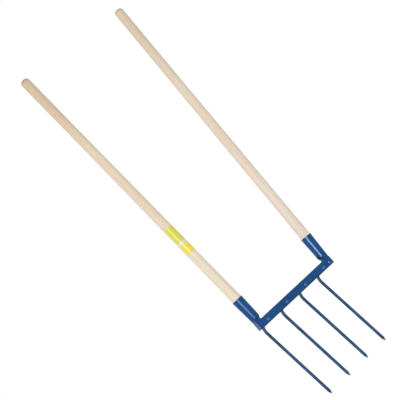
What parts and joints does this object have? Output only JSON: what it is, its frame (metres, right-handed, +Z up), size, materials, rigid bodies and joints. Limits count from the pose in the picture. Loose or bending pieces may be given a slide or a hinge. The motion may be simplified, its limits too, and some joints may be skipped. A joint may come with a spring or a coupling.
{
  "type": "broadfork",
  "caption": "Two-handled garden broadfork: long splayed wooden handles in tapered steel sockets on a square crossbar, with slim bent tines below for lifting and loosening soil.",
  "frame": {"origin": "middle of the crossbar's flat underside", "axes": "+X along the crossbar to the right, +Y from the front of the crossbar to its back, where the tines bend, +Z up along the mid-plane between the handles"},
  "size_m": [0.5154, 0.0959, 1.5356],
  "materials": {
    "blue_paint": "glossy blue paint on steel",
    "tine_paint": "dark slate-blue paint on steel, worn at the points",
    "weld_paint": "glossy blue paint over weld beads",
    "ash": "turned and sanded pale ash",
    "screw_steel": "zinc-plated steel",
    "label": "plain yellow self-adhesive film"
  },
  "bodies": {
    "root": {"crossbar": "blue_paint", "end_plate_left": "blue_paint", "end_plate_right": "blue_paint", "tine_1": "tine_paint", "tine_2": "tine_paint", "tine_3": "tine_paint", "tine_4": "tine_paint", "front_weld_1": "weld_paint", "front_weld_2": "weld_paint", "front_weld_3": "weld_paint", "front_weld_4": "weld_paint", "back_weld_1": "weld_paint", "back_weld_2": "weld_paint", "back_weld_3": "weld_paint", "back_weld_4": "weld_paint", "socket_left": "blue_paint", "socket_right": "blue_paint", "socket_weld_left": "weld_paint", "socket_weld_right": "weld_paint", "end_weld": "weld_paint", "handle_left": "ash", "handle_right": "ash", "handle_screw_left": "screw_steel", "handle_screw_right": "screw_steel", "handle_label": "label"}
  },
  "joints": []
}
